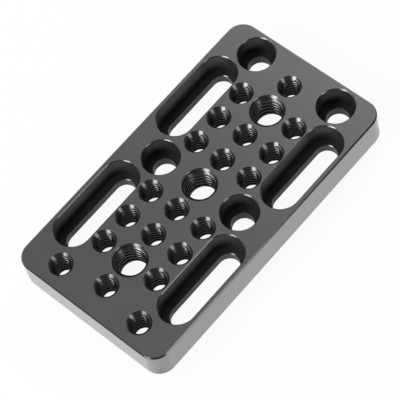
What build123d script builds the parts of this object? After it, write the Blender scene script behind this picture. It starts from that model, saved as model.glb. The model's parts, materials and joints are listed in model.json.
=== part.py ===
"""Cheese plate: a small milled aluminium mounting plate for camera accessories.

One solid plate lies flat on the XY plane, with its long side along X. It carries a square
grid of tapped holes, counterbored screw holes and four stepped slots for sliding screws.
The fine screw threads are not cut here: each tapped hole has its tap-drill bore and its
countersunk mouths. Sizes are in millimetres. The origin is the centre of the underside.
"""
import os
from math import sqrt

from build123d import *

# Plate
plate_length = 94.5
plate_thickness = 10.0
corner_radius = 5.0
edge_chamfer = 0.4

# Square grid that every hole and slot is laid out on, and the rows beside its centre line
hole_pitch = 9.5
tapped_row_y = hole_pitch
side_hole_y = 1.5 * hole_pitch
slot_line_y = 2 * hole_pitch

# Tapped holes
small_bore_diameter = 5.1
small_mouth_diameter = 7.05
large_bore_diameter = 7.94
large_mouth_diameter = 10.2

# Counterbored clearance holes
counterbore_diameter = 10.8
counterbore_depth = 6.5
clearance_diameter = 6.6

# Stepped slots: a wide upper slot for the screw's head over a narrow one for its shank
slot_head_width = 11.0
slot_head_depth = 6.8
slot_shank_width = 6.6

# Broken edge round the counterbores and slots, at both faces
mouth_chamfer = 0.25

# Walls left between an opening and the plate's edge or its neighbour
end_wall = 1.15
side_wall = 1.5
counterbore_slot_wall = 1.73
end_counterbore_slot_wall = 1.15
corner_hole_slot_wall = 2.05

# The end holes keep the end wall outside their counterbores, and the slots the side wall
end_hole_x = plate_length / 2 - end_wall - counterbore_diameter / 2
plate_width = 2 * (slot_line_y + slot_head_width / 2 + side_wall)


def small_hole_centres():
    """Centres of the small tapped holes: two side rows, the centre line and one end's pair."""
    side_rows = [(column * hole_pitch, side * tapped_row_y)
                 for column in (-3, -2, -1, 1, 2, 3) for side in (-1, 1)]
    centre_line = [(column * hole_pitch, 0) for column in (-4, -2, -1, 1, 2, 4)]
    end_pair = [(-end_hole_x, side * side_hole_y) for side in (-1, 1)]
    return side_rows + centre_line + end_pair


def large_hole_centres():
    """Centres of the large tapped holes, all on the centre line."""
    return [(column * hole_pitch, 0) for column in (-3, 0, 3)]


def counterbore_centres():
    """Centres of the counterbored holes: one pair at the middle, one pair at the +X end."""
    return [(x, side * side_hole_y) for x in (0, end_hole_x) for side in (-1, 1)]


def slot_setback(neighbour_diameter, wall):
    """Distance along X from a side hole's centre to the end arc of a slot that clears it."""
    reach = neighbour_diameter / 2 + wall + slot_head_width / 2
    return sqrt(reach**2 - (slot_line_y - side_hole_y) ** 2)


def slot_spans():
    """Centre and travel of each slot: long ones towards -X, short ones towards +X."""
    inner_x = slot_setback(counterbore_diameter, counterbore_slot_wall)
    end_setback = slot_setback(counterbore_diameter, end_counterbore_slot_wall)
    corner_setback = slot_setback(small_mouth_diameter, corner_hole_slot_wall)
    spans = []
    for end, outer_x in ((-1, end_hole_x - corner_setback), (1, end_hole_x - end_setback)):
        for side in (-1, 1):
            centre = (end * (inner_x + outer_x) / 2, side * slot_line_y)
            spans.append((centre, outer_x - inner_x))
    return spans


def blank():
    """The plate before its holes: round corners, with both outlines chamfered."""
    plate = extrude(RectangleRounded(plate_length, plate_width, corner_radius), plate_thickness)
    faces = plate.faces().sort_by(Axis.Z)
    return chamfer(faces[0].edges() + faces[-1].edges(), edge_chamfer)


def tapped_bore(bore_diameter, mouth_diameter):
    """Tool for one tapped hole: the tap-drill bore with a 45 degree countersink at each face."""
    bore = bore_diameter / 2
    mouth = mouth_diameter / 2
    sink = mouth - bore
    half_section = Polyline(
        (0, 0),
        (mouth, 0),
        (bore, sink),
        (bore, plate_thickness - sink),
        (mouth, plate_thickness),
        (0, plate_thickness),
        close=True,
    )
    return revolve(Plane.XZ * make_face(half_section), Axis.Z)


def counterbored_bore():
    """Tool for one counterbored hole: a clearance bore under a flat-bottomed counterbore."""
    floor_z = plate_thickness - counterbore_depth
    shank = extrude(Circle(clearance_diameter / 2), plate_thickness)
    head = extrude(Pos(0, 0, floor_z) * Circle(counterbore_diameter / 2), counterbore_depth)
    return shank + head


def stepped_slot(travel):
    """Tool for one slot: the shank's narrow slot under the head's wide slot."""
    ledge_z = plate_thickness - slot_head_depth
    shank = extrude(SlotCenterToCenter(travel, slot_shank_width), plate_thickness)
    head_outline = Pos(0, 0, ledge_z) * SlotCenterToCenter(travel, slot_head_width)
    return shank + extrude(head_outline, slot_head_depth)


def mouth_edges(plate):
    """Edges of every opening in the top face and in the underside."""
    faces = plate.faces().sort_by(Axis.Z)
    return [edge for face in (faces[0], faces[-1])
            for wire in face.inner_wires() for edge in wire.edges()]


def cheese_plate():
    """The finished plate: wide openings with broken edges first, then the tapped holes."""
    plate = blank()
    plate -= [Pos(x, y) * counterbored_bore() for x, y in counterbore_centres()]
    plate -= [Pos(*centre) * stepped_slot(travel) for centre, travel in slot_spans()]
    plate = chamfer(mouth_edges(plate), mouth_chamfer)
    small_tool = tapped_bore(small_bore_diameter, small_mouth_diameter)
    large_tool = tapped_bore(large_bore_diameter, large_mouth_diameter)
    plate -= [Pos(x, y) * small_tool for x, y in small_hole_centres()]
    plate -= [Pos(x, y) * large_tool for x, y in large_hole_centres()]
    return plate


os.makedirs("parts", exist_ok=True)
export_step(cheese_plate(), "parts/plate.step")
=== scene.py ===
"""Cheese plate: the milled plate with its cut threads and anodised finish, in a plain studio.

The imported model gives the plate's box and the place of every hole and slot. The walls of the
tapped holes and of the stepped openings are Geometry Nodes trees, set out on those places, and
the plate's outside and two faces are closed round them into one solid piece. Lengths are in
metres. The origin is the centre of the plate's underside.
"""
import json
import math

import bmesh
import bpy
from mathutils import Matrix, Vector


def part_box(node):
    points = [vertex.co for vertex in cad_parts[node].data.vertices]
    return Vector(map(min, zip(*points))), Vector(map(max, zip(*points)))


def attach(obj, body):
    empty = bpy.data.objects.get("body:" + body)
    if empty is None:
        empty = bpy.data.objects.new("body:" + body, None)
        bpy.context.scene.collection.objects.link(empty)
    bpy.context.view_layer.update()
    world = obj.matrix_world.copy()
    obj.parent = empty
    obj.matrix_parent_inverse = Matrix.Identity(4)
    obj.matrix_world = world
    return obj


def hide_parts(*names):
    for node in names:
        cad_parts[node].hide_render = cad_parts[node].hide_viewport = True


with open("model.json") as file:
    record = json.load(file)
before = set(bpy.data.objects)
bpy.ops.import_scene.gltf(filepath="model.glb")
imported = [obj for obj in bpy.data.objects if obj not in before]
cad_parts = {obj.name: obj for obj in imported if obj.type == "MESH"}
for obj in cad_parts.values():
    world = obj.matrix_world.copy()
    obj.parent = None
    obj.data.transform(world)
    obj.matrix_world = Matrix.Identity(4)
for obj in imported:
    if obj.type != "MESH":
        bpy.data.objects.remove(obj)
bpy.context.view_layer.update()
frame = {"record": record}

bl_info = {
    "name": "Cheese Plate",
    "version": (1, 0, 0),
    "blender": (4, 5, 0),
    "location": "3D View > Sidebar > Cheese Plate",
    "description": "Milled camera mounting plate with cut threads and a satin anodised finish",
    "category": "Add Mesh",
}

MM = 0.001
MERGE_DISTANCE = 1e-6
# How near to a face's height its rim edges lie
LEVEL_TOLERANCE = 5 * MERGE_DISTANCE
# How near to a bore the stated radius of a hole lies
RADIUS_TOLERANCE = MM / 10

# Rows of faces in one turn of thread, and the shares at which crest, flank and root end
ROWS_PER_TURN = 6
CREST_END, FLANK_END, ROOT_END = (row / ROWS_PER_TURN for row in (1, 3, 4))
# Heights of a 60 degree thread's flats and first flank, as shares of its pitch
CREST_FLAT, FLANK, ROOT_FLAT = 0.25, 0.3125, 0.125
# Rings of points down a stepped opening's wall
OPENING_LEVELS = 7
# Meshes of walls: two threads, the counterbores and two lengths of slot
WALL_MESHES = 5

# Edges up to this angle shade smoothly, and between two cut faces up to the second one
SMOOTH_ANGLE = math.radians(32)
ROUNDED_ANGLE = math.radians(75)
# Upward part of the normal between which a face counts as a broken edge of 45 degrees
BROKEN_EDGE = (0.66, 0.76)
# The plate's materials, in their order on the mesh
BLASTED, MACHINED, POCKET = range(3)
# Depth of the dimples on cut surfaces, as a share of the blasted ones'
CUT_GRAIN = 1 / 4
# Patches of slightly different shade in one metre
PATCHES_PER_METRE = 130

FLOOR_HALF_SIZE = 6
FLOOR_GAP = 0.05 * MM
# Elevations in degrees at which the pale horizon and the pale ceiling are full, and end
HORIZON_BAND, CEILING_BAND = (0, 14), (80, 58)
SOFTBOX_DISTANCE = 0.7
# Bearing to the camera's right and elevation in degrees, side in metres, and power's setting
SOFTBOXES = {"key_softbox": (-58, 30, 0.3, "key_power"),
             "left_softbox": (-76, 38, 0.4, "left_power"),
             "far_left_softbox": (-104, 30, 0.4, "far_left_power"),
             "right_softbox": (40, 23, 0.25, "right_power"),
             "far_softbox": (150, 35, 0.3, "far_power")}
SENSOR_WIDTH = 36
CLIP_START, CLIP_END = 0.01, 50


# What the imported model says

def hole_centres(radius):
    """Centres of the round holes with that bore, each once, from the stated hole patterns."""
    centres = {}
    for mount in frame["record"]["mounts"]:
        dims = mount["dims"]
        stated = dims.get("r_mm" if mount["kind"] == "threaded_hole" else "hole_r_mm", 0)
        if (mount["kind"] not in ("threaded_hole", "bolt_pattern")
                or abs(stated * MM - radius) > RADIUS_TOLERANCE):
            continue
        x, y = mount["pos_m"][:2]
        half_x = dims.get("spacing_x_mm", 0) * MM / 2
        half_y = dims.get("spacing_y_mm", 0) * MM / 2
        for side_x in (-half_x, half_x):
            for side_y in (-half_y, half_y):
                place = (round(x + side_x, 6), round(y + side_y, 6), 0)
                centres[place] = Vector(place)
    return list(centres.values())


def slot_places():
    """Centres of the stepped slots by the travel that each gives its screw."""
    places = {}
    for mount in frame["record"]["mounts"]:
        if mount["kind"] == "slide":
            travel = (mount["dims"]["slot_length_mm"] - 2 * mount["dims"]["hole_r_mm"]) * MM
            places.setdefault(travel, []).append(Vector((mount["pos_m"][0], mount["pos_m"][1], 0)))
    return places


# Settings

def length(name, description, millimetres):
    """A length property, stated in millimetres."""
    return bpy.props.FloatProperty(name=name, description=description, default=millimetres * MM,
                                   min=0, subtype="DISTANCE", unit="LENGTH", precision=5)


def angle(name, description, degrees):
    """An angle property, stated in degrees."""
    return bpy.props.FloatProperty(name=name, description=description,
                                   default=math.radians(degrees), subtype="ANGLE", unit="ROTATION")


def colour(name, description, value):
    """A colour property in scene-linear values."""
    return bpy.props.FloatVectorProperty(name=name, description=description, default=value,
                                         min=0, max=1, subtype="COLOR", size=3)


def amount(name, description, value, top=10):
    """A plain number property."""
    return bpy.props.FloatProperty(name=name, description=description, default=value,
                                   min=0, max=top)


class TappedHoleSizes(bpy.types.PropertyGroup):
    """Sizes of the two screw threads and their countersinks"""
    small_pitch: length("Small Pitch", "Pitch of the 1/4-20 thread", 1.27)
    small_bore: length("Small Bore", "Radius over the crests of the 1/4-20 thread", 2.55)
    small_root: length("Small Root", "Radius at the roots of the 1/4-20 thread", 3.175)
    small_mouth: length("Small Mouth", "Radius of the small countersink at the face", 3.525)
    small_segments: bpy.props.IntProperty(
        name="Small Segments", description="Faces round a small hole", default=44, min=12)
    large_pitch: length("Large Pitch", "Pitch of the 3/8-16 thread", 1.5875)
    large_bore: length("Large Bore", "Radius over the crests of the 3/8-16 thread", 3.97)
    large_root: length("Large Root", "Radius at the roots of the 3/8-16 thread", 4.7625)
    large_mouth: length("Large Mouth", "Radius of the large countersink at the face", 5.1)
    large_segments: bpy.props.IntProperty(
        name="Large Segments", description="Faces round a large hole", default=64, min=12)


class SteppedOpeningSizes(bpy.types.PropertyGroup):
    """Sizes of the counterbores and the stepped slots"""
    shank_radius: length("Shank Radius", "Half the width of the narrow lower opening", 3.3)
    counterbore_radius: length("Counterbore Radius", "Radius of a counterbore", 5.4)
    counterbore_depth: length("Counterbore Depth", "Depth of a counterbore's floor", 6.5)
    slot_radius: length("Slot Radius", "Half the width of a slot's upper opening", 5.5)
    slot_depth: length("Slot Depth", "Depth of a slot's ledge", 6.8)
    mouth_chamfer: length("Mouth Chamfer", "Broken edge of each opening at the faces", 0.25)
    rim_chamfer: length("Rim Chamfer", "Broken edge where the ledge meets the shank opening", 0.2)
    arc_segments: bpy.props.IntProperty(
        name="Arc Segments", description="Faces round each half of an opening", default=28, min=6)


class PlateSizes(bpy.types.PropertyGroup):
    """Sizes of the plate's outline that its box doesn't give"""
    corner_radius: length("Corner Radius", "Radius of the plate's corners", 5.0)
    edge_chamfer: length("Edge Chamfer", "Chamfer round both faces", 0.4)
    corner_segments: bpy.props.IntProperty(
        name="Corner Segments", description="Faces round each corner", default=20, min=3)


class AnodisedFinish(bpy.types.PropertyGroup):
    """Colour and texture of the anodised aluminium"""
    face_base: colour("Face Base", "Colour of the blasted faces", (0.035, 0.035, 0.0355))
    face_gloss: amount("Face Gloss", "Index of refraction of the blasted faces", 2.0, 4)
    face_roughness: amount("Face Roughness", "Roughness of the blasted faces", 0.42, 1)
    seal_gloss: amount("Seal Gloss", "Index of refraction of the sealed layer on the faces",
                       1.75, 4)
    seal_roughness: amount("Seal Roughness", "Roughness of the sealed layer", 0.16, 1)
    # The cut colour, darker than the faces', is painted shade in the threads, and the same colour
    # lies on the countersinks and broken edges
    cut_colour_and_painted_shade: colour("Cut Base", "Colour of threads, countersinks and broken edges",
                     (0.012, 0.012, 0.0122))
    cut_gloss: amount("Cut Gloss", "Index of refraction of threads and broken edges", 1.9, 4)
    cut_roughness: amount("Cut Roughness", "Roughness of threads and broken edges", 0.2, 1)
    # The pocket colour, darker than the faces', and the pocket's lower gloss are painted shade on
    # the walls of the counterbores and slots
    pocket_painted_shade: colour("Pocket Painted Shade", "Colour of the milled openings' walls",
                        (0.02, 0.02, 0.0203))
    pocket_gloss: amount("Pocket Gloss", "Index of refraction of the milled openings' walls",
                         1.6, 4)
    pocket_roughness: amount("Pocket Roughness", "Roughness of the milled openings' walls",
                             0.35, 1)
    grain_size: length("Grain Size", "Width of one blasted dimple", 0.12)
    grain_depth: length("Grain Depth", "Depth of the blasted dimples", 0.004)
    tool_mark_spacing: length("Tool Mark Spacing", "Distance between machining marks", 0.16)
    tool_mark_depth: length("Tool Mark Depth", "Depth of the machining marks", 0.0012)
    mottling: amount("Mottling", "Slow change of shade over the anodising", 0.07, 1)


class StudioSettings(bpy.types.PropertyGroup):
    """Camera, lamps, floor and surroundings"""
    heading: angle("Heading", "Camera's heading from +Y towards +X", 33.82)
    elevation: angle("Elevation", "Camera's height above the horizon", 60.52)
    roll: angle("Roll", "Camera's roll about its line of sight", -17.265)
    distance: length("Distance", "From the camera to the point it aims at", 549.4)
    aim_x: bpy.props.FloatProperty(name="Aim X", description="Aim point on the top face, along X",
                                   default=-3.555 * MM, unit="LENGTH", precision=5)
    aim_y: bpy.props.FloatProperty(name="Aim Y", description="Aim point on the top face, along Y",
                                   default=-3.209 * MM, unit="LENGTH", precision=5)
    focal_length: bpy.props.FloatProperty(
        name="Focal Length", description="Camera lens, in millimetres", default=183.97, min=10)
    floor_colour: colour("Floor", "Colour of the floor", (0.9, 0.9, 0.9))
    backdrop_share: amount("Backdrop Share", "Share of plain white in the floor's look", 0.93, 1)
    shadow_reach: length("Shadow Reach", "Distance at which the floor is nothing but white", 400)
    reflected_share: amount("Reflected Share", "Share of plain white in the floor's reflection",
                            1.0, 1)
    beneath_share: amount("Beneath Share", "The same share for the floor beneath the plate",
                          0.4, 1)
    horizon: amount("Horizon", "Strength of the surroundings at the floor's edge", 1.0, 1)
    ceiling: amount("Ceiling", "Strength of the surroundings overhead", 0.5, 1)
    between: amount("Between", "Strength of the surroundings between horizon and ceiling", 0.12, 1)
    key_power: amount("Key Power", "Power of the main softbox, in watts", 2.1)
    left_power: amount("Left Power", "Power of the left softbox, in watts", 1.5)
    far_left_power: amount("Far Left Power", "Power of the softbox far to the left, in watts", 0.8)
    right_power: amount("Right Power", "Power of the right softbox, in watts", 0.6)
    far_power: amount("Far Power", "Power of the softbox beyond the far end, in watts", 2.6)


# Node helpers

def feed(tree, socket, value):
    """Give a socket a link or a plain value."""
    if isinstance(value, bpy.types.NodeSocket):
        tree.links.new(value, socket)
    else:
        socket.default_value = value


def add_node(tree, kind, inputs=None, **settings):
    """A new node with its settings and its inputs, which are named or numbered."""
    node = tree.nodes.new(kind)
    for key, value in settings.items():
        setattr(node, key, value)
    for key, value in (inputs or {}).items():
        feed(tree, node.inputs[key], value)
    return node


def calc(tree, operation, *values):
    """The result of one Math node."""
    node = add_node(tree, "ShaderNodeMath", dict(enumerate(values)), operation=operation)
    return node.outputs[0]


def profile(tree, points, value):
    """The value looked up on straight lines between the points."""
    node = add_node(tree, "ShaderNodeFloatCurve", {"Value": value})
    curve = node.mapping.curves[0]
    while len(curve.points) < len(points):
        curve.points.new(0.5, 0.5)
    for point, place in zip(curve.points, sorted(points)):
        point.location = place
        point.handle_type = "VECTOR"
    node.mapping.update()
    return node.outputs[0]


def new_tree(name, kind, inputs, outputs):
    """An empty node group with named sockets, and its two end nodes."""
    tree = bpy.data.node_groups.new(name, kind)
    for socket_name, socket_type in inputs:
        tree.interface.new_socket(socket_name, in_out="INPUT", socket_type=socket_type)
    for socket_name, socket_type in outputs:
        tree.interface.new_socket(socket_name, in_out="OUTPUT", socket_type=socket_type)
    return tree, tree.nodes.new("NodeGroupInput").outputs, tree.nodes.new("NodeGroupOutput").inputs


def unit_sheet(tree, columns, rows):
    """A sheet of that many columns and rows of faces, and each point's share along and up it."""
    grid = add_node(tree, "GeometryNodeMeshGrid", {
        "Size X": 1, "Size Y": 1, "Vertices X": calc(tree, "ADD", columns, 1),
        "Vertices Y": calc(tree, "ADD", rows, 1)})
    place = add_node(tree, "ShaderNodeSeparateXYZ",
                     {"Vector": add_node(tree, "GeometryNodeInputPosition").outputs[0]})
    return (grid.outputs["Mesh"], calc(tree, "ADD", place.outputs["X"], 0.5),
            calc(tree, "ADD", place.outputs["Y"], 0.5))


def set_out(tree, sheet, place, given, result):
    """Bend a sheet into one wall, merge its seams, copy it to every point and paint it."""
    wall = add_node(tree, "GeometryNodeSetPosition", {
        "Geometry": sheet, "Position": add_node(tree, "ShaderNodeCombineXYZ", place).outputs[0]})
    merged = add_node(tree, "GeometryNodeMergeByDistance",
                      {"Geometry": wall.outputs[0], "Distance": MERGE_DISTANCE})
    copies = add_node(tree, "GeometryNodeInstanceOnPoints",
                      {"Points": given["Places"], "Instance": merged.outputs[0]})
    real = add_node(tree, "GeometryNodeRealizeInstances", {"Geometry": copies.outputs[0]})
    painted = add_node(tree, "GeometryNodeSetMaterial",
                       {"Geometry": real.outputs[0], "Material": given["Material"]})
    tree.links.new(painted.outputs[0], result["Walls"])


# Geometry Nodes trees

FLOAT, INTEGER = "NodeSocketFloat", "NodeSocketInt"
GEOMETRY, MATERIAL = "NodeSocketGeometry", "NodeSocketMaterial"


def threaded_bore_tree():
    """One tapped hole's wall: a right-hand thread between two countersinks, at every point."""
    tree, given, result = new_tree(
        "Threaded Bore", "GeometryNodeTree",
        [("Places", GEOMETRY), ("Thickness", FLOAT), ("Pitch", FLOAT), ("Bore Radius", FLOAT),
         ("Root Radius", FLOAT), ("Mouth Radius", FLOAT), ("Segments", INTEGER),
         ("Material", MATERIAL)],
        [("Walls", GEOMETRY)])
    thickness, pitch, mouth = given["Thickness"], given["Pitch"], given["Mouth Radius"]
    turns = calc(tree, "ADD", calc(tree, "CEIL", calc(tree, "DIVIDE", thickness, pitch)), 1)
    sheet, around, up = unit_sheet(tree, given["Segments"],
                                   calc(tree, "MULTIPLY", turns, ROWS_PER_TURN))
    turn = calc(tree, "MULTIPLY", up, turns)
    part = calc(tree, "FRACT", turn)
    # One turn of thread: crest flat, flank, root flat, flank
    rise = profile(tree, [(0, 0), (CREST_END, CREST_FLAT), (FLANK_END, CREST_FLAT + FLANK),
                          (ROOT_END, CREST_FLAT + FLANK + ROOT_FLAT), (1, 1)], part)
    depth = profile(tree, [(0, 0), (CREST_END, 0), (FLANK_END, 1), (ROOT_END, 1), (1, 0)], part)
    climb = calc(tree, "ADD", calc(tree, "ADD", calc(tree, "FLOOR", turn), rise),
                 calc(tree, "SUBTRACT", around, 1))
    height = calc(tree, "MINIMUM",
                  calc(tree, "MAXIMUM", calc(tree, "MULTIPLY", climb, pitch), 0), thickness)
    cut = calc(tree, "MULTIPLY_ADD",
               calc(tree, "SUBTRACT", given["Root Radius"], given["Bore Radius"]),
               depth, given["Bore Radius"])
    to_face = calc(tree, "MINIMUM", height, calc(tree, "SUBTRACT", thickness, height))
    radius = calc(tree, "MAXIMUM", cut, calc(tree, "SUBTRACT", mouth, to_face))
    theta = calc(tree, "MULTIPLY", around, 2 * math.pi)
    set_out(tree, sheet, {
        "X": calc(tree, "MULTIPLY", radius, calc(tree, "COSINE", theta)),
        "Y": calc(tree, "MULTIPLY", radius, calc(tree, "SINE", theta)),
        "Z": height}, given, result)
    return tree


def stepped_opening_tree():
    """One stepped opening's wall: head opening, ledge and shank opening, at every point."""
    tree, given, result = new_tree(
        "Stepped Opening", "GeometryNodeTree",
        [("Places", GEOMETRY), ("Thickness", FLOAT), ("Travel", FLOAT), ("Head Radius", FLOAT),
         ("Head Depth", FLOAT), ("Shank Radius", FLOAT), ("Mouth Chamfer", FLOAT),
         ("Rim Chamfer", FLOAT), ("Arc Segments", INTEGER), ("Material", MATERIAL)],
        [("Walls", GEOMETRY)])
    thickness, arc = given["Thickness"], given["Arc Segments"]
    head, shank = given["Head Radius"], given["Shank Radius"]
    chamfer, rim = given["Mouth Chamfer"], given["Rim Chamfer"]
    ledge = calc(tree, "SUBTRACT", thickness, given["Head Depth"])
    # Each arc has a straight side after it
    steps = calc(tree, "MULTIPLY_ADD", arc, 2, 2)
    sheet, along, down = unit_sheet(tree, steps, OPENING_LEVELS - 1)
    level = calc(tree, "ROUND", calc(tree, "MULTIPLY", down, OPENING_LEVELS - 1))
    # Columns run round the +X arc, then round the -X arc, and the last closes on the first
    column = calc(tree, "FLOORED_MODULO",
                  calc(tree, "ROUND", calc(tree, "MULTIPLY", along, steps)), steps)
    far_arc = calc(tree, "GREATER_THAN", column, calc(tree, "ADD", arc, 0.5))
    theta = calc(tree, "MULTIPLY_ADD",
                 calc(tree, "DIVIDE", calc(tree, "SUBTRACT", column, far_arc), arc),
                 math.pi, -math.pi / 2)
    shift = calc(tree, "MULTIPLY", given["Travel"], calc(tree, "SUBTRACT", 0.5, far_arc))
    levels = [(calc(tree, "ADD", head, chamfer), thickness),
              (head, calc(tree, "SUBTRACT", thickness, chamfer)),
              (head, ledge),
              (calc(tree, "ADD", shank, rim), ledge),
              (shank, calc(tree, "SUBTRACT", ledge, rim)),
              (shank, chamfer),
              (calc(tree, "ADD", shank, chamfer), 0)]
    picked = []
    for part in (0, 1):
        switch = add_node(tree, "GeometryNodeIndexSwitch", data_type="FLOAT")
        while len(switch.index_switch_items) < OPENING_LEVELS:
            switch.index_switch_items.new()
        feed(tree, switch.inputs["Index"], level)
        for number, values in enumerate(levels):
            feed(tree, switch.inputs[number + 1], values[part])
        picked.append(switch.outputs[0])
    radius, height = picked
    set_out(tree, sheet, {
        "X": calc(tree, "MULTIPLY_ADD", radius, calc(tree, "COSINE", theta), shift),
        "Y": calc(tree, "MULTIPLY", radius, calc(tree, "SINE", theta)),
        "Z": height}, given, result)
    return tree


def walls_from_tree(tree, centres, values):
    """The plain mesh that a tree makes at those centres, with its inputs set by name."""
    if not centres:
        raise RuntimeError("no centres for the tree %s" % tree.name)
    points = bpy.data.meshes.new("places")
    points.from_pydata(centres, [], [])
    carrier = bpy.data.objects.new("places", points)
    bpy.context.scene.collection.objects.link(carrier)
    modifier = carrier.modifiers.new("walls", "NODES")
    modifier.node_group = tree
    sockets = {item.name: item.identifier for item in tree.interface.items_tree
               if item.item_type == "SOCKET" and item.in_out == "INPUT"}
    for name, value in values.items():
        modifier[sockets[name]] = value
    graph = bpy.context.evaluated_depsgraph_get()
    graph.update()
    mesh = bpy.data.meshes.new_from_object(carrier.evaluated_get(graph), depsgraph=graph)
    carrier.modifiers.remove(modifier)
    bpy.data.objects.remove(carrier)
    if not mesh.polygons:
        raise RuntimeError("the tree %s made no faces" % tree.name)
    return mesh


# Finish

def anodised_skin_group():
    """Shade, roughness and fine relief that every anodised surface of the plate shares."""
    tree, given, result = new_tree(
        "Anodised Skin", "ShaderNodeTree",
        [("Base", "NodeSocketColor"), ("Mottling", FLOAT), ("Roughness", FLOAT),
         ("Grain Size", FLOAT), ("Grain Depth", FLOAT), ("Mark Spacing", FLOAT),
         ("Mark Depth", FLOAT)],
        [("Color", "NodeSocketColor"), ("Roughness", FLOAT), ("Normal", "NodeSocketVector")])
    place = add_node(tree, "ShaderNodeTexCoord").outputs["Object"]
    cloud = add_node(tree, "ShaderNodeTexNoise", {
        "Vector": place, "Scale": PATCHES_PER_METRE, "Detail": 3, "Roughness": 0.5})
    grain = add_node(tree, "ShaderNodeTexNoise", {
        "Vector": place, "Scale": calc(tree, "DIVIDE", 1, given["Grain Size"]),
        "Detail": 2, "Roughness": 0.6})
    swing = calc(tree, "MULTIPLY",
                 calc(tree, "SUBTRACT", cloud.outputs["Fac"], 0.5), given["Mottling"])
    speck = calc(tree, "MULTIPLY",
                 calc(tree, "SUBTRACT", grain.outputs["Fac"], 0.5), given["Mottling"])
    shade = calc(tree, "ADD", 1, calc(tree, "MULTIPLY", calc(tree, "ADD", swing, speck), 2))
    tinted = add_node(tree, "ShaderNodeMix", {0: 1.0, 6: given["Base"], 7: shade},
                      data_type="RGBA", blend_type="MULTIPLY")
    tree.links.new(tinted.outputs[2], result["Color"])
    tree.links.new(calc(tree, "ADD", given["Roughness"], swing), result["Roughness"])
    height = calc(tree, "MULTIPLY", grain.outputs["Fac"], given["Grain Depth"])
    # Machining marks lie in level rings, so they follow the height alone, slightly unevenly
    level = add_node(tree, "ShaderNodeSeparateXYZ", {"Vector": place}).outputs["Z"]
    wander = calc(tree, "MULTIPLY", cloud.outputs["Fac"], given["Mark Spacing"])
    ring = calc(tree, "SINE", calc(tree, "MULTIPLY", calc(
        tree, "DIVIDE", calc(tree, "ADD", level, wander), given["Mark Spacing"]), 2 * math.pi))
    height = calc(tree, "MULTIPLY_ADD", ring, given["Mark Depth"], height)
    bump = add_node(tree, "ShaderNodeBump", {"Strength": 1.0, "Distance": 1.0, "Height": height})
    tree.links.new(bump.outputs["Normal"], result["Normal"])
    return tree


def anodised_material(name, skin, finish, base, roughness, gloss, grain_depth, mark_depth):
    """One finish of the anodised aluminium, with the shared skin at its own values."""
    material = bpy.data.materials.new(name)
    material.use_nodes = True
    tree = material.node_tree
    shader = tree.nodes["Principled BSDF"]
    surface = add_node(tree, "ShaderNodeGroup", node_tree=skin)
    for key, value in {"Base": (*base, 1), "Mottling": finish.mottling,
                       "Roughness": roughness, "Grain Size": finish.grain_size,
                       "Grain Depth": grain_depth, "Mark Spacing": finish.tool_mark_spacing,
                       "Mark Depth": mark_depth}.items():
        surface.inputs[key].default_value = value
    tree.links.new(surface.outputs["Color"], shader.inputs["Base Color"])
    tree.links.new(surface.outputs["Roughness"], shader.inputs["Roughness"])
    tree.links.new(surface.outputs["Normal"], shader.inputs["Normal"])
    shader.inputs["IOR"].default_value = gloss
    return material


def plate_materials(context):
    """The blasted face finish, the bright cut finish and the pocket finish, made once; the pocket
    finish's darker colour and lower gloss are painted shade on the openings' walls.
    """
    names = ("blasted_anodised", "machined_anodised", "pocket_anodised")
    if names[BLASTED] not in bpy.data.materials:
        finish = context.scene.anodised_finish
        skin = anodised_skin_group()
        blasted = anodised_material(names[BLASTED], skin, finish, finish.face_base,
                                    finish.face_roughness, finish.face_gloss,
                                    finish.grain_depth, 0)
        sealed = blasted.node_tree.nodes["Principled BSDF"]
        sealed.inputs["Coat Weight"].default_value = 1.0
        sealed.inputs["Coat IOR"].default_value = finish.seal_gloss
        sealed.inputs["Coat Roughness"].default_value = finish.seal_roughness
        cut_grain = finish.grain_depth * CUT_GRAIN
        # Threads, countersinks and broken edges get a darker colour, which is painted shade in the
        # threads
        anodised_material(names[MACHINED], skin, finish, finish.cut_colour_and_painted_shade, finish.cut_roughness,
                          finish.cut_gloss, cut_grain, finish.tool_mark_depth)
        # The counterbores' and slots' walls get a darker colour and a lower gloss, as painted
        # shade
        anodised_material(names[POCKET], skin, finish, finish.pocket_painted_shade,
                          finish.pocket_roughness, finish.pocket_gloss, cut_grain,
                          finish.tool_mark_depth)
    return [bpy.data.materials[name] for name in names]


# Plate

def rounded_outline(half_length, half_width, radius, segments):
    """Points of a rounded rectangle, anticlockwise from its -Y side."""
    points = []
    for quarter, (sx, sy) in enumerate(((1, -1), (1, 1), (-1, 1), (-1, -1))):
        centre_x, centre_y = sx * (half_length - radius), sy * (half_width - radius)
        for step in range(segments + 1):
            turn = math.pi / 2 * (quarter - 1 + step / segments)
            points.append((centre_x + radius * math.cos(turn), centre_y + radius * math.sin(turn)))
    return points


def add_outside(bm, sizes, low, high):
    """The plate's blasted side wall between its two machined edge chamfers."""
    chamfer = sizes.edge_chamfer
    rings = []
    for inset, height in ((chamfer, low.z), (0, low.z + chamfer), (0, high.z - chamfer),
                          (chamfer, high.z)):
        outline = rounded_outline(high.x - inset, high.y - inset, sizes.corner_radius - inset,
                                  sizes.corner_segments)
        rings.append([bm.verts.new((x, y, height)) for x, y in outline])
    for lower, upper, finish in zip(rings, rings[1:], (MACHINED, BLASTED, MACHINED)):
        for index in range(len(lower)):
            following = (index + 1) % len(lower)
            face = bm.faces.new((lower[index], lower[following], upper[following], upper[index]))
            face.material_index = finish


def close_faces(bm, low, high):
    """Fill the underside and the top face between the outline and every opening."""
    open_edges = [edge for edge in bm.edges if edge.is_boundary]
    for height in (low.z, high.z):
        rim = [edge for edge in open_edges
               if all(abs(vert.co.z - height) < LEVEL_TOLERANCE for vert in edge.verts)]
        filled = bmesh.ops.triangle_fill(bm, edges=rim, use_beauty=True, normal=(0, 0, 1))
        for item in filled["geom"]:
            if isinstance(item, bmesh.types.BMFace):
                item.material_index = BLASTED
    loose = sum(not edge.is_manifold for edge in bm.edges)
    if loose:
        raise RuntimeError("the plate isn't closed: %d loose edges" % loose)


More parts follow.
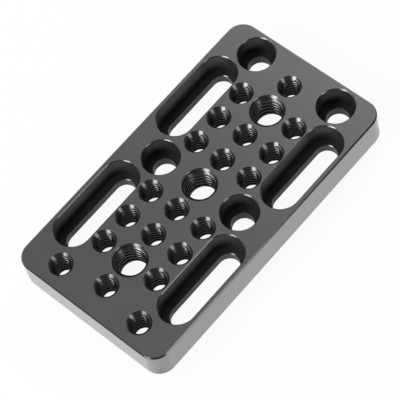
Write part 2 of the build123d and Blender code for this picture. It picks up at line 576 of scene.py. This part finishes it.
class CHEESEPLATE_OT_tapped_holes(bpy.types.Operator):
    """Cut the threads and countersinks of all the tapped holes"""
    bl_idname = "cheese_plate.tapped_holes"
    bl_label = "Tapped Holes"

    def execute(self, context):
        sizes = context.scene.tapped_hole_sizes
        low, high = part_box("plate")
        machined = plate_materials(context)[MACHINED]
        tree = threaded_bore_tree()
        for kind, pitch, bore, root, mouth, segments in (
                ("small", sizes.small_pitch, sizes.small_bore, sizes.small_root,
                 sizes.small_mouth, sizes.small_segments),
                ("large", sizes.large_pitch, sizes.large_bore, sizes.large_root,
                 sizes.large_mouth, sizes.large_segments)):
            mesh = walls_from_tree(tree, hole_centres(bore), {
                "Thickness": high.z - low.z, "Pitch": pitch, "Bore Radius": bore,
                "Root Radius": root, "Mouth Radius": mouth, "Segments": segments,
                "Material": machined})
            mesh.name = "walls_tapped_" + kind
        return {"FINISHED"}


class CHEESEPLATE_OT_stepped_openings(bpy.types.Operator):
    """Mill the counterbored holes and the stepped slots"""
    bl_idname = "cheese_plate.stepped_openings"
    bl_label = "Counterbores and Slots"

    def execute(self, context):
        sizes = context.scene.stepped_opening_sizes
        low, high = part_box("plate")
        pocket = plate_materials(context)[POCKET]
        tree = stepped_opening_tree()
        shared = {"Thickness": high.z - low.z, "Shank Radius": sizes.shank_radius,
                  "Mouth Chamfer": sizes.mouth_chamfer, "Rim Chamfer": sizes.rim_chamfer,
                  "Arc Segments": sizes.arc_segments, "Material": pocket}
        mesh = walls_from_tree(tree, hole_centres(sizes.shank_radius), {
            **shared, "Travel": 0.0, "Head Radius": sizes.counterbore_radius,
            "Head Depth": sizes.counterbore_depth})
        mesh.name = "walls_counterbores"
        for number, (travel, centres) in enumerate(sorted(slot_places().items())):
            mesh = walls_from_tree(tree, centres, {
                **shared, "Travel": travel, "Head Radius": sizes.slot_radius,
                "Head Depth": sizes.slot_depth})
            mesh.name = "walls_slots_%d" % number
        return {"FINISHED"}


class CHEESEPLATE_OT_plate(bpy.types.Operator):
    """Close the plate's outside and faces round the walls of its openings"""
    bl_idname = "cheese_plate.plate"
    bl_label = "Plate"

    def execute(self, context):
        walls = [mesh for mesh in bpy.data.meshes if mesh.name.startswith("walls_")]
        if len(walls) < WALL_MESHES:
            raise RuntimeError("the tapped holes and the stepped openings come first")
        low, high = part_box("plate")
        bm = bmesh.new()
        # Tapped walls come first, so that the plain walls after them can take the pocket finish,
        # whose darker colour and lower gloss are painted shade
        walls.sort(key=lambda mesh: mesh.name.startswith("walls_tapped"), reverse=True)
        tapped_faces = sum(len(mesh.polygons) for mesh in walls
                           if mesh.name.startswith("walls_tapped"))
        for mesh in walls:
            bm.from_mesh(mesh)
            bpy.data.meshes.remove(mesh)
        bm.normal_update()
        for number, face in enumerate(bm.faces):
            broken = BROKEN_EDGE[0] < abs(face.normal.z) < BROKEN_EDGE[1]
            face.material_index = MACHINED if number < tapped_faces or broken else POCKET
        add_outside(bm, context.scene.plate_sizes, low, high)
        bmesh.ops.remove_doubles(bm, verts=bm.verts, dist=MERGE_DISTANCE)
        close_faces(bm, low, high)
        bmesh.ops.recalc_face_normals(bm, faces=bm.faces)
        for face in bm.faces:
            face.smooth = True
        # Thread crests and roots are slightly rounded, so they shade smoothly into the flanks
        for edge in bm.edges:
            cut = all(face.material_index == MACHINED for face in edge.link_faces)
            edge.smooth = edge.calc_face_angle() < (ROUNDED_ANGLE if cut else SMOOTH_ANGLE)
        mesh = bpy.data.meshes.new("milled_plate")
        bm.to_mesh(mesh)
        bm.free()
        for material in plate_materials(context):
            mesh.materials.append(material)
        plate = bpy.data.objects.new("milled_plate", mesh)
        context.scene.collection.objects.link(plate)
        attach(plate, "root")
        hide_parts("plate")
        return {"FINISHED"}


# Studio

def floor_material(studio, half_length, half_width):
    """Pale floor: lit by the lamps, and plain white to the camera and to reflections.

    Beneath the plate, inside its half length and half width, reflections keep its shadow.
    """
    material = bpy.data.materials.new("studio_floor")
    material.use_nodes = True
    tree = material.node_tree
    tree.nodes.remove(tree.nodes["Principled BSDF"])
    output = tree.nodes["Material Output"]
    lit = add_node(tree, "ShaderNodeBsdfDiffuse", {"Color": (*studio.floor_colour, 1)})
    white = add_node(tree, "ShaderNodeEmission", {"Color": (1, 1, 1, 1), "Strength": 1.0})
    ray = add_node(tree, "ShaderNodeLightPath").outputs
    place = add_node(tree, "ShaderNodeTexCoord").outputs["Object"]
    # Well away from the plate nothing but white is left, so that no horizon shows
    away = add_node(tree, "ShaderNodeVectorMath", {0: place}, operation="LENGTH")
    share = add_node(tree, "ShaderNodeMapRange", {
        "Value": away.outputs["Value"], "From Min": studio.shadow_reach / 2,
        "From Max": studio.shadow_reach, "To Min": studio.backdrop_share,
        "To Max": 1.0}, interpolation_type="SMOOTHSTEP").outputs["Result"]
    seen = calc(tree, "MULTIPLY", ray["Is Camera Ray"], share)
    across = add_node(tree, "ShaderNodeSeparateXYZ", {"Vector": place}).outputs
    outside = calc(tree, "MAXIMUM",
                   calc(tree, "GREATER_THAN", calc(tree, "ABSOLUTE", across["X"]), half_length),
                   calc(tree, "GREATER_THAN", calc(tree, "ABSOLUTE", across["Y"]), half_width))
    reflected = calc(tree, "MULTIPLY",
                     calc(tree, "MULTIPLY_ADD", outside,
                          studio.reflected_share - studio.beneath_share, studio.beneath_share),
                     calc(tree, "MAXIMUM", ray["Is Glossy Ray"], ray["Is Transmission Ray"]))
    mixed = add_node(tree, "ShaderNodeMixShader", {
        0: calc(tree, "MAXIMUM", seen, reflected), 1: lit.outputs[0], 2: white.outputs[0]})
    # From beneath the floor is clear, so that the plate's underside can be looked at
    clear = add_node(tree, "ShaderNodeBsdfTransparent")
    one_sided = add_node(tree, "ShaderNodeMixShader", {
        0: add_node(tree, "ShaderNodeNewGeometry").outputs["Backfacing"],
        1: mixed.outputs[0], 2: clear.outputs[0]})
    tree.links.new(one_sided.outputs[0], output.inputs["Surface"])
    return material


def light_surroundings(studio):
    """Soft surroundings: white to the camera, a pale horizon and a pale ceiling, dim between."""
    world = bpy.data.worlds.new("studio_surroundings")
    world.use_nodes = True
    tree = world.node_tree
    background = tree.nodes["Background"]
    direction = add_node(tree, "ShaderNodeTexCoord").outputs["Generated"]
    up = add_node(tree, "ShaderNodeSeparateXYZ", {"Vector": direction}).outputs["Z"]
    strengths = []
    for (pale, dim), value in ((HORIZON_BAND, studio.horizon), (CEILING_BAND, studio.ceiling)):
        strengths.append(add_node(tree, "ShaderNodeMapRange", {
            "Value": up, "From Min": math.sin(math.radians(dim)),
            "From Max": math.sin(math.radians(pale)), "To Min": studio.between,
            "To Max": value}, interpolation_type="SMOOTHSTEP").outputs["Result"])
    strength = calc(tree, "MAXIMUM", *strengths)
    seen = add_node(tree, "ShaderNodeLightPath").outputs["Is Camera Ray"]
    tree.links.new(calc(tree, "MAXIMUM", seen, strength), background.inputs["Strength"])
    background.inputs["Color"].default_value = (1, 1, 1, 1)
    return world


def add_softbox(context, name, studio, aim):
    """A square softbox that faces the plate."""
    bearing, elevation, side, power = SOFTBOXES[name]
    heading = studio.heading - math.radians(bearing)
    flat = math.cos(math.radians(elevation))
    towards = Vector((-math.sin(heading) * flat, -math.cos(heading) * flat,
                      math.sin(math.radians(elevation))))
    light = bpy.data.lights.new(name, "AREA")
    light.size = side
    light.energy = getattr(studio, power)
    lamp = bpy.data.objects.new(name, light)
    lamp.matrix_world = (Matrix.Translation(aim + towards * SOFTBOX_DISTANCE)
                         @ towards.to_track_quat("Z", "Y").to_matrix().to_4x4())
    context.scene.collection.objects.link(lamp)


def add_camera(context, studio, aim):
    """The camera, from its heading, elevation, roll and distance to the aim point."""
    flat = math.cos(studio.elevation)
    sight = Vector((math.sin(studio.heading) * flat, math.cos(studio.heading) * flat,
                    -math.sin(studio.elevation)))
    level = Vector((math.cos(studio.heading), -math.sin(studio.heading), 0))
    right = level * math.cos(studio.roll) + level.cross(sight) * math.sin(studio.roll)
    turned = Matrix((right, right.cross(sight), -sight)).transposed()
    data = bpy.data.cameras.new("studio_camera")
    data.lens = studio.focal_length
    data.sensor_width = SENSOR_WIDTH
    data.clip_start, data.clip_end = CLIP_START, CLIP_END
    camera = bpy.data.objects.new("studio_camera", data)
    camera.matrix_world = Matrix.Translation(aim - sight * studio.distance) @ turned.to_4x4()
    context.scene.collection.objects.link(camera)
    context.scene.camera = camera


class CHEESEPLATE_OT_studio(bpy.types.Operator):
    """Set up the floor, the surroundings, the lamps and the camera"""
    bl_idname = "cheese_plate.studio"
    bl_label = "Studio"

    def execute(self, context):
        studio = context.scene.studio_settings
        low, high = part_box("plate")
        aim = Vector((studio.aim_x, studio.aim_y, high.z))
        bm = bmesh.new()
        bmesh.ops.create_grid(bm, x_segments=1, y_segments=1, size=FLOOR_HALF_SIZE)
        bmesh.ops.translate(bm, verts=bm.verts, vec=(0, 0, low.z - FLOOR_GAP))
        mesh = bpy.data.meshes.new("studio_floor")
        bm.to_mesh(mesh)
        bm.free()
        mesh.materials.append(floor_material(studio, high.x, high.y))
        floor = bpy.data.objects.new("studio_floor", mesh)
        context.scene.collection.objects.link(floor)
        context.scene.world = light_surroundings(studio)
        for name in SOFTBOXES:
            add_softbox(context, name, studio, aim)
        add_camera(context, studio, aim)
        context.scene.view_settings.view_transform = "Standard"
        return {"FINISHED"}


class CHEESEPLATE_PT_panel(bpy.types.Panel):
    """Settings and steps of the cheese plate"""
    bl_idname = "CHEESEPLATE_PT_panel"
    bl_label = "Cheese Plate"
    bl_space_type = "VIEW_3D"
    bl_region_type = "UI"
    bl_category = "Cheese Plate"

    def draw(self, context):
        for operator, groups in STEPS:
            column = self.layout.box().column()
            for group in groups:
                settings = getattr(context.scene, group)
                for key in settings.__annotations__:
                    column.prop(settings, key)
            column.operator(operator.bl_idname)


STEPS = ((CHEESEPLATE_OT_tapped_holes, ("anodised_finish", "tapped_hole_sizes")),
         (CHEESEPLATE_OT_stepped_openings, ("stepped_opening_sizes",)),
         (CHEESEPLATE_OT_plate, ("plate_sizes",)),
         (CHEESEPLATE_OT_studio, ("studio_settings",)))
GROUPS = {"tapped_hole_sizes": TappedHoleSizes, "stepped_opening_sizes": SteppedOpeningSizes,
          "plate_sizes": PlateSizes, "anodised_finish": AnodisedFinish,
          "studio_settings": StudioSettings}


def register():
    for name, group in GROUPS.items():
        bpy.utils.register_class(group)
        setattr(bpy.types.Scene, name, bpy.props.PointerProperty(type=group))
    for operator, _ in STEPS:
        bpy.utils.register_class(operator)
    bpy.utils.register_class(CHEESEPLATE_PT_panel)


def unregister():
    bpy.utils.unregister_class(CHEESEPLATE_PT_panel)
    for operator, _ in reversed(STEPS):
        bpy.utils.unregister_class(operator)
    for name, group in reversed(list(GROUPS.items())):
        delattr(bpy.types.Scene, name)
        bpy.utils.unregister_class(group)


def main():
    """Run every step."""
    register()
    bpy.ops.cheese_plate.tapped_holes()
    bpy.ops.cheese_plate.stepped_openings()
    bpy.ops.cheese_plate.plate()
    bpy.ops.cheese_plate.studio()


if __name__ == "__main__":
    main()
